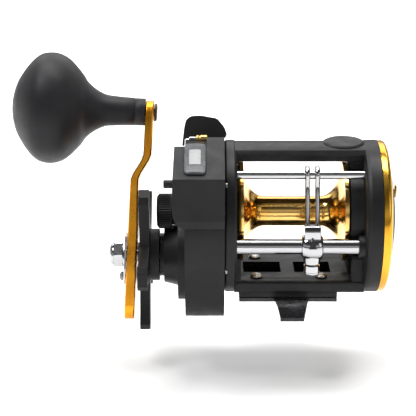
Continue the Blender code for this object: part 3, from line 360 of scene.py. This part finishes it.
def pipe(points, radius, steps):
    """A round wire with domed ends along points in millimetres."""
    bm = bmesh.new()
    path = [Vector(p) for p in points]
    rings = []
    first = (path[1] - path[0]).normalized()
    side = first.cross(Vector((1, 0, 0)))
    if side.length < 0.1:
        side = first.cross(Vector((0, 1, 0)))
    side.normalize()
    stations = [(path[0] - first * radius * 0.8, 0.35), (path[0] - first * radius * 0.45, 0.8)]
    stations += [(p, 1.0) for p in path]
    last = (path[-1] - path[-2]).normalized()
    stations += [(path[-1] + last * radius * 0.45, 0.8), (path[-1] + last * radius * 0.8, 0.35)]
    for i, (point, size) in enumerate(stations):
        before, after = stations[max(i - 1, 0)][0], stations[min(i + 1, len(stations) - 1)][0]
        heading = (after - before).normalized()
        side = (side - heading * side.dot(heading)).normalized()
        other = heading.cross(side)
        turns = (2 * math.pi * k / steps for k in range(steps))
        rings.append([bm.verts.new((point + (side * math.cos(a) + other * math.sin(a)) * radius * size) * MM)
                      for a in turns])
    return capped(bm, rings)


# ---- camera, light and floor (metres) --------------------------------------------------------------

VIEW_DISTANCE = 0.69
VIEW_ELEVATION = math.radians(16.0)
VIEW_TARGET = Vector((-0.041, 0.0004, 0.0479))
FLOOR_Z = -0.0335
FLOOR_SIZE = 40.0
FLOOR_NEAR = 0.35
FLOOR_FAR = 1.3
GLOW_NEAR = 0.22
GLOW_FAR = 0.8


def add_camera():
    """Long lens from the rod-tip side, a little above the reel."""
    data = bpy.data.cameras.new("camera")
    data.lens = 119.4
    data.sensor_width = 36.0
    data.clip_start = 0.01
    camera = bpy.data.objects.new("camera", data)
    away = Vector((0.0, -math.cos(VIEW_ELEVATION), math.sin(VIEW_ELEVATION)))
    camera.location = VIEW_TARGET + away * VIEW_DISTANCE
    camera.rotation_euler = (-away).to_track_quat('-Z', 'Y').to_euler()
    bpy.context.scene.collection.objects.link(camera)
    bpy.context.scene.camera = camera


def add_area(name, location, target, size, power):
    """A rectangular lamp at a place, aimed at a target."""
    data = bpy.data.lights.new(name, 'AREA')
    data.shape = 'RECTANGLE'
    data.size, data.size_y = size
    data.energy = power
    light = bpy.data.objects.new(name, data)
    light.location = location
    light.rotation_euler = (Vector(target) - Vector(location)).to_track_quat('-Z', 'Y').to_euler()
    bpy.context.scene.collection.objects.link(light)


def add_world():
    """Studio surroundings: bright overhead, pale walls and a darker band near the horizon."""
    world = bpy.data.worlds.new("studio")
    bpy.context.scene.world = world
    world.use_nodes = True
    nodes, links = world.node_tree.nodes, world.node_tree.links
    place = nodes.new("ShaderNodeTexCoord")
    split = nodes.new("ShaderNodeSeparateXYZ")
    ramp = nodes.new("ShaderNodeValToRGB")
    spread = nodes.new("ShaderNodeMapRange")
    spread.inputs["From Min"].default_value = -1.0
    links.new(place.outputs["Generated"], split.inputs["Vector"])
    links.new(split.outputs["Z"], spread.inputs["Value"])
    links.new(spread.outputs["Result"], ramp.inputs["Fac"])
    stops = [(0.0, 0.6), (0.44, 0.55), (0.5, 0.15), (0.54, 0.04), (0.585, 0.6), (0.64, 1.0), (0.69, 0.5),
             (0.78, 0.06), (0.92, 0.1), (1.0, 0.45)]
    ramp.color_ramp.elements.remove(ramp.color_ramp.elements[1])
    for index, (position, value) in enumerate(stops):
        stop = ramp.color_ramp.elements[0] if index == 0 else ramp.color_ramp.elements.new(position)
        stop.position = position
        stop.color = (value, value, value, 1.0)
    links.new(ramp.outputs["Color"], nodes["Background"].inputs["Color"])
    nodes["Background"].inputs["Strength"].default_value = 0.62


def add_floor():
    """A wide pale floor that glows more with distance, so it stays white out to its edge."""
    look = Look("floor", (0.93, 0.93, 0.93), 0.9, Specular_IOR_Level=0.1)
    look.colour(look.blend(look.noise(2.0, 2.0), (0.93, 0.93, 0.93), (0.95, 0.95, 0.95)))
    reach = look.nodes.new("ShaderNodeVectorMath")
    reach.operation = 'LENGTH'
    look.links.new(look.place, reach.inputs[0])
    glow = look.remap(reach.outputs["Value"], GLOW_NEAR, GLOW_FAR, FLOOR_NEAR, FLOOR_FAR)
    glow.node.interpolation_type = 'SMOOTHSTEP'
    look.links.new(glow, look.shader.inputs["Emission Strength"])
    look.shader.inputs["Emission Color"].default_value = (1.0, 1.0, 1.0, 1.0)
    bm = bmesh.new()
    bmesh.ops.create_grid(bm, x_segments=4, y_segments=4, size=FLOOR_SIZE)
    bmesh.ops.translate(bm, verts=bm.verts, vec=(0, 0, FLOOR_Z))
    floor = finish_mesh("floor", bm, look.material)


def add_studio():
    add_camera()
    add_world()
    add_floor()
    add_area("key", (-0.55, -0.25, 1.0), (-0.03, 0, 0.04), (0.35, 0.35), 5.0)
    add_area("fill", (0.75, -0.6, 0.45), (0.0, 0, 0.04), (0.3, 0.5), 0.5)
    add_area("top", (0.0, 0.2, 1.2), (0.0, 0, 0.04), (1.3, 0.45), 17.0)
    add_area("back", (-0.1, 0.9, 0.6), (0.0, 0, 0.04), (1.2, 0.3), 2.0)
    add_area("backdrop", (0.0, 1.5, 1.5), (0.0, 1.5, FLOOR_Z), (3.0, 0.8), 17.0)
    bpy.context.scene.view_settings.view_transform = 'Standard'


# ---- knob and handle ---------------------------------------------------------------------------------

KNOB_PROFILE = [(0.0, 6.7), (0.4, 6.85), (4.7, 6.9), (5.0, 6.6), (5.3, 6.95), (10.0, 7.15), (15.5, 7.5),
                (20.0, 8.1), (24.7, 10.3), (29.2, 13.9), (32.3, 18.3), (38.0, 24.3), (42.5, 27.0),
                (47.5, 27.95), (53.0, 26.8), (58.0, 22.5), (63.4, 14.6), (66.0, 7.5), (66.9, 0.8)]
KNOB_GAP = 0.3
KNOB_BORE_R = 2.7
KNOB_BORE_DEPTH = 60.0


def add_knob():
    """Pear-shaped grip with a collar at its neck and a blind bore for the spindle."""
    joint = JOINTS["knob_spin"]
    point, axis = Vector(joint["pos_m"]) / MM, Vector(joint["axis"]).normalized()
    collar = [(-(s + KNOB_GAP), r) for s, r in KNOB_PROFILE[:5]]
    body = smooth_curve([(-(s + KNOB_GAP), r) for s, r in KNOB_PROFILE[5:]], 5)
    bm = lathe([(-KNOB_GAP, KNOB_BORE_R)] + collar + body, steps=96, closed=False)
    tip_x = -(KNOB_PROFILE[-1][0] + KNOB_GAP)
    tip = [v for v in bm.verts if abs(v.co.x / MM - tip_x) < 0.02]
    bm.faces.new(sorted(tip, key=lambda v: math.atan2(v.co.z, v.co.y)))
    lathe([(-KNOB_GAP, KNOB_BORE_R), (-KNOB_BORE_DEPTH, KNOB_BORE_R)], steps=96, closed=False, bm=bm)
    floor = [v for v in bm.verts
             if abs(v.co.x / MM + KNOB_BORE_DEPTH) < 0.01 and v.co.yz.length / MM < KNOB_BORE_R + 0.3]
    bm.faces.new(sorted(floor, key=lambda v: math.atan2(v.co.z, v.co.y)))
    add("handle_knob_grip", stand(bm, point, axis), "handle_knob", sharp=50)
    spindle = rounded_profile([(-58.0, 0.0), (-58.0, 2.3), (-0.15, 2.3), (-0.15, 1.8), (4.3, 1.8),
                               (4.3, 4.6), (5.3, 4.5), (5.8, 3.6), (5.85, 0.0)], 0.3)
    add("knob_rivet", stand(lathe(spindle, steps=48), point, axis), "knob_spindle")


def add_handle():
    refined("handle_arm", 0.55, 3, 40, look=LOOKS["arm_amber"])
    refined("nut_lock_plate", 0.2, 2)
    refined("lock_screw", 0.15, 2)
    refined("spacer_collar", 0.2, 2)
    add_handle_nut()
    refined("star_drag", 0.9, 4)
    refined("handle_shaft", 0.15, 2)


def add_handle_nut():
    """Hexagon acorn nut: chamfered hexagon, waisted step and a polished dome."""
    low, high = span("handle_nut")
    half_flats, corner_r, dome_r = 6.05, 7.0, 5.75
    dome_base = high - 4.9
    steps = 96
    bm = bmesh.new()
    stations = [(high, 0.86), (high - 0.5, 1.0), (high - 2.9, 1.0), (high - 4.0, 0.985), (high - 4.7, 0.93)]
    rings = []
    for x, size in stations:
        ring = []
        for k in range(steps):
            turn = 360.0 * k / steps
            hexagon = half_flats / math.cos(math.radians((turn + 14.0) % 60.0 - 30.0))
            radius = min(hexagon, corner_r * size)
            ring.append(bm.verts.new(Vector((x, HANDLE[0] + radius * math.cos(math.radians(turn)),
                                             HANDLE[1] + radius * math.sin(math.radians(turn)))) * MM))
        rings.append(ring)
    for angle in range(0, 88, 8):
        x = dome_base - (dome_base - low) * math.sin(math.radians(angle))
        radius = dome_r * math.cos(math.radians(angle)) ** 0.75
        rings.append([bm.verts.new(Vector((x, HANDLE[0] + radius * math.cos(2 * math.pi * k / steps),
                                           HANDLE[1] + radius * math.sin(2 * math.pi * k / steps))) * MM)
                      for k in range(steps)])
    add("acorn_nut", capped(bm, rings), "handle_nut", sharp=28)


# ---- handle side ---------------------------------------------------------------------------------------

def add_handle_side():
    refined("gear_side_case", 0.7, 3, 35)
    refined("counter_housing", 0.8, 3, 25)
    refined("free_spool_lever", 0.9, 3, 30)
    refined("reset_button", 0.3, 3)
    add_lens()
    add_lever_stop()
    refined("case_screw_1", 0.2, 2)
    refined("case_screw_2", 0.2, 2)
    add_cast_cap()


def slope_frame():
    """Middle, run and normal of the counter's sloping face, taken from the digit wheels' axis."""
    axis = Vector(JOINTS["counter_units_turn"]["axis"]).normalized()
    normal = Vector((0.0, -axis.z, axis.y))
    return middle("counter_lens"), axis, normal


def sloping_pad(half_x, half_run, bulge, thickness, lift=0.0, power=2.6):
    """A rounded oblong on the sloping face with a convex outer side."""
    centre, run, normal = slope_frame()
    bm = bmesh.new()
    rings = []
    turns = 64
    for size, sink in ((1.0, -thickness), (1.0, -0.15), (0.985, 0.0), (0.94, 0.06), (0.8, 0.12), (0.6, 0.2),
                       (0.4, 0.26), (0.2, 0.3)):
        ring = []
        for k in range(turns):
            angle = 2 * math.pi * k / turns
            c, s = math.cos(angle), math.sin(angle)
            reach = (abs(c) ** (2 * power) + abs(s) ** (2 * power)) ** (-1 / (2 * power))
            x, along = half_x * size * reach * c, half_run * size * reach * s
            rise = lift + sink + bulge * (1 - (x / half_x) ** 2)
            if sink == -thickness:
                rise = lift - thickness
            ring.append(bm.verts.new((centre + Vector((x, 0, 0)) + run * along + normal * rise) * MM))
        rings.append(ring)
    return capped(bm, rings)


def add_lens():
    """Smoked lens over the counter, with the pale window in its middle."""
    add("lens_smoked", sloping_pad(5.1, 10.9, 0.55, 0.8, power=5.0), "counter_lens", sharp=45)
    pad = sloping_pad(2.8, 5.6, 0.12, 0.3, lift=0.95, power=9.0)
    add("counter_window", pad, "counter_lens", replaces=False, look=LOOKS["window_white"], sharp=45)


def add_lever_stop():
    """Brass bush and steel pin that stop the free-spool lever at the top of the case."""
    axis = (4.4, 82.4)
    bush = rounded_profile([(-46.9, 0.01), (-46.9, 1.9), (-45.9, 2.1), (-45.3, 1.7), (-44.7, 2.1),
                            (-41.6, 2.1), (-41.0, 1.4), (-41.0, 0.01)], 0.3)
    add("lever_bush_brass", lathe(bush, axis, 48), "gear_side_case", replaces=False,
        look=LOOKS["gear_brass"], slot="gear_brass")
    pin = rounded_profile([(-50.4, 0.01), (-50.4, 1.2), (-46.9, 1.2), (-46.9, 0.01)], 0.3)
    add("lever_pin_steel", lathe(pin, axis, 32), "gear_side_case", replaces=False,
        look=LOOKS["chrome_parts"], slot="chrome_parts")


def add_cast_cap():
    """Cap with a knurled rim and a recess in its outer face."""
    low, high = span("cast_control_cap")
    ribs, depth = 44, 0.28

    def knurl(x, angle):
        ends = min(1.0, (x - low - 0.7) / 0.5, (high - 0.3 - x) / 0.5)
        return depth * max(ends, 0.0) * (math.cos(ribs * angle) - 1.0)

    outside = [(low, 0.02), (low, 6.9), (low + 0.25, 7.6), (low + 0.8, 8.2)]
    outside += [(low + 1.1 + 0.6 * k, 8.75) for k in range(11)]
    outside += [(high - 0.1, 8.4), (high, 7.5), (high - 5.5, 7.5), (high - 5.5, 0.02)]
    bm = lathe(outside, SPOOL, ribs * 8, knurl)
    add("cast_cap_knurled", bm, "cast_control_cap", sharp=40)


# ---- spool, bars and line guide ------------------------------------------------------------------------

def add_spool():
    """Rims, long trumpet flares and a plain arbor, all polished."""
    low, high = span("spool")
    length, rim_gap = 10.5, 2.5
    flare_r, arbor_r, bore_r = 24.5, 7.4, 2.45
    flare = [(length * (1 - math.cos(math.radians(a))),
              flare_r - (flare_r - arbor_r) * math.sin(math.radians(a))) for a in range(3, 91, 3)]
    outer_left, outer_right = low + 1.5, high - 1.3
    left = [(low, bore_r), (low, 22.9), (low + 0.2, 23.1), (outer_left - 0.1, 23.3), (outer_left, 24.3),
            (outer_left + 0.15, 24.65), (outer_left + 0.5, 24.8), (outer_left + rim_gap, 24.8)]
    left += [(outer_left + rim_gap + 0.2 + push, radius) for push, radius in flare]
    right = [(outer_right - rim_gap - push, radius) for push, radius in reversed(flare)]
    right += [(outer_right - rim_gap + 0.2, 24.8), (outer_right - 0.5, 24.8), (outer_right - 0.15, 24.65),
              (outer_right, 24.3), (outer_right, 4.6), (high, 4.6), (high, bore_r)]
    add("spool_polished", lathe(left + right, SPOOL, 160), "spool", sharp=50)


def add_bars():
    """Upper guide bar and the tube that the carriage runs on."""
    low, high = span("guide_bar")
    bar = rounded_profile([(low, 0.02), (low, BAR_R), (high, BAR_R), (high, 0.02)], 0.3)
    add("guide_bar_chrome", lathe(bar, BAR, 48), "guide_bar")
    refined("worm_tube", 0.1, 2, 50)


FLANGE_CLEARANCE = 25.35


def clear_of_spool(bm):
    """Press the vertices that would foul the spool's flanges out to a clear radius."""
    for vertex in bm.verts:
        offset = Vector((vertex.co.y / MM - SPOOL[0], vertex.co.z / MM - SPOOL[1]))
        if offset.length < FLANGE_CLEARANCE:
            offset *= FLANGE_CLEARANCE / offset.length
            vertex.co.y, vertex.co.z = (SPOOL[0] + offset.x) * MM, (SPOOL[1] + offset.y) * MM


def prism(outline, low, high, steps=12):
    """A (y, z) outline drawn out along X in thin slices, closed at both ends."""
    bm = bmesh.new()
    rings = [[bm.verts.new(Vector((low + (high - low) * k / steps, y, z)) * MM) for y, z in outline]
             for k in range(steps + 1)]
    return capped(bm, rings)


def add_line_guide():
    """Carriage on the worm tube, its neck, and two line wires that hook over the upper bar."""
    centre = middle("line_guide").x
    y, z = WORM
    barrel = [(-5.15, 4.1), (-5.15, 4.6), (-4.9, 5.0), (-4.3, 5.5), (-3.4, 5.9), (-2.2, 6.2), (-0.8, 6.35)]
    barrel += [(-x, r) for x, r in reversed(barrel)]
    bm = lathe([(centre + x, r) for x, r in barrel], WORM, 96)
    boss = [(-8.6, 2.6), (-8.6, 3.6), (-8.2, 3.95), (-5.0, 4.3), (-4.4, 4.5), (-4.3, 2.6)]
    boss = stand(lathe(boss, steps=64), (0, 0, 0), (0, 0, 1))
    bmesh.ops.translate(boss, verts=boss.verts, vec=Vector((centre, y, z)) * MM)
    add("pawl_boss_chrome", boss, "line_guide", replaces=False)
    clear_of_spool(bm)
    add("carriage_chrome", bm, "line_guide", sharp=50)
    neck = [(y - 4.2, z + 4.6), (y - 4.3, z + 8.6), (y - 3.6, z + 9.6), (y - 2.8, z + 10.8),
            (y + 1.2, z + 10.8), (y + 1.8, z + 9.6), (y + 1.8, z + 4.2)]
    bm = prism(neck, centre - 3.9, centre + 3.9)
    clear_of_spool(bm)
    soften(add("guide_neck_chrome", bm, "line_guide", replaces=False), 0.45)
    # The sloping facet under the neck is a separate dark-chrome piece on the chrome carriage: its dark colour is a
    # painted dark reflection.
    facet = prism([(y - 6.75, z + 0.6), (y - 5.6, z + 5.2), (y - 4.0, z + 5.2), (y - 4.0, z + 0.6)],
                  centre - 1.9, centre + 1.9, 1)
    for vertex in facet.verts:
        rise = (vertex.co.z / MM - z - 0.6) / 4.6
        vertex.co.x = (centre + (vertex.co.x / MM - centre) * (1.0 - 0.8 * rise)) * MM
    soften(add("carriage_facet_painted_reflection", facet, "line_guide", replaces=False, look=LOOKS["dark_chrome"]), 0.15)
    for side in (-1, 1):
        x = centre + 2.4 * side
        path = [(x, y + 0.2, z + 8.0), (x, y + 0.6, z + 12.0), (x, BAR[0] - HOOK_R, BAR[1] - 6.0),
                (x, BAR[0] - HOOK_R, BAR[1] - 2.0)]
        path += [(x, BAR[0] + HOOK_R * math.cos(math.radians(a)), BAR[1] + HOOK_R * math.sin(math.radians(a)))
                 for a in range(180, -21, -20)]
        add("wire_chrome_" + ("left" if side < 0 else "right"), pipe(smooth_curve(path, 4), WIRE_R, 24),
            "line_guide", replaces=False, sharp=60)
    add_pawl_cap(centre)


def add_pawl_cap(centre):
    """Cap screwed under the carriage, with a wide slot across its end drawn as a thin dark strip of painted shade.
    """
    y, z = WORM
    cap = [(-13.8, 0.01), (-13.8, 3.1), (-13.6, 3.5), (-13.2, 3.8), (-12.6, 3.85), (-12.5, 3.65),
           (-12.3, 3.65), (-12.2, 3.85), (-9.4, 3.85), (-9.1, 3.5), (-8.9, 3.2), (-8.9, 0.01)]
    bm = stand(lathe(cap, steps=64), (0, 0, 0), (0, 0, 1))
    bmesh.ops.translate(bm, verts=bm.verts, vec=Vector((centre, y, z)) * MM)
    add("pawl_cap_chrome", bm, "pawl_cap", sharp=40)
    # The slot is not cut: a thin dark-chrome strip on the cap's end paints the shade inside a slot.
    slot = prism([(y - 3.1, z - 13.85), (y - 3.1, z - 13.2), (y + 3.1, z - 13.2), (y + 3.1, z - 13.85)],
                 centre - 0.55, centre + 0.55, 1)
    soften(add("pawl_cap_slot_painted_shade", slot, "pawl_cap", replaces=False, look=LOOKS["dark_chrome"]), 0.08)


# ---- frame, foot and palm side ---------------------------------------------------------------------------

def add_frame():
    refined("frame", 0.6, 3, 35)
    refined("reel_foot", 0.5, 3, 25)
    for number in range(1, 5):
        refined(f"foot_screw_{number}", 0.2, 2)


def add_palm_side():
    """Gold ring, dark dome and clicker button."""
    low, high = span("trim_ring")
    trim = [(low, 34.2), (low, 37.8), (44.9, 37.85), (45.7, 37.6), (46.3, 37.0), (46.8, 36.1), (47.1, 35.0),
            (high, 33.6), (high, 31.5), (high - 0.2, 31.2), (46.4, 31.2), (46.4, 34.2)]
    add("trim_ring_gold", lathe(trim, RING, 160), "trim_ring", sharp=45)
    refined("palm_cover", 0.2, 2, 40)
    refined("clicker_button", 0.2, 2, 50)


def add_inner_parts():
    """CAD nodes that stay as they are get their own finish."""
    for node, shape in NODES.items():
        shape.data.materials.clear()
        shape.data.materials.append(LOOKS[SLOT_OF[node]])


add_studio()
add_inner_parts()
add_knob()
add_handle()
add_handle_side()
add_spool()
add_bars()
add_line_guide()
add_frame()
add_palm_side()
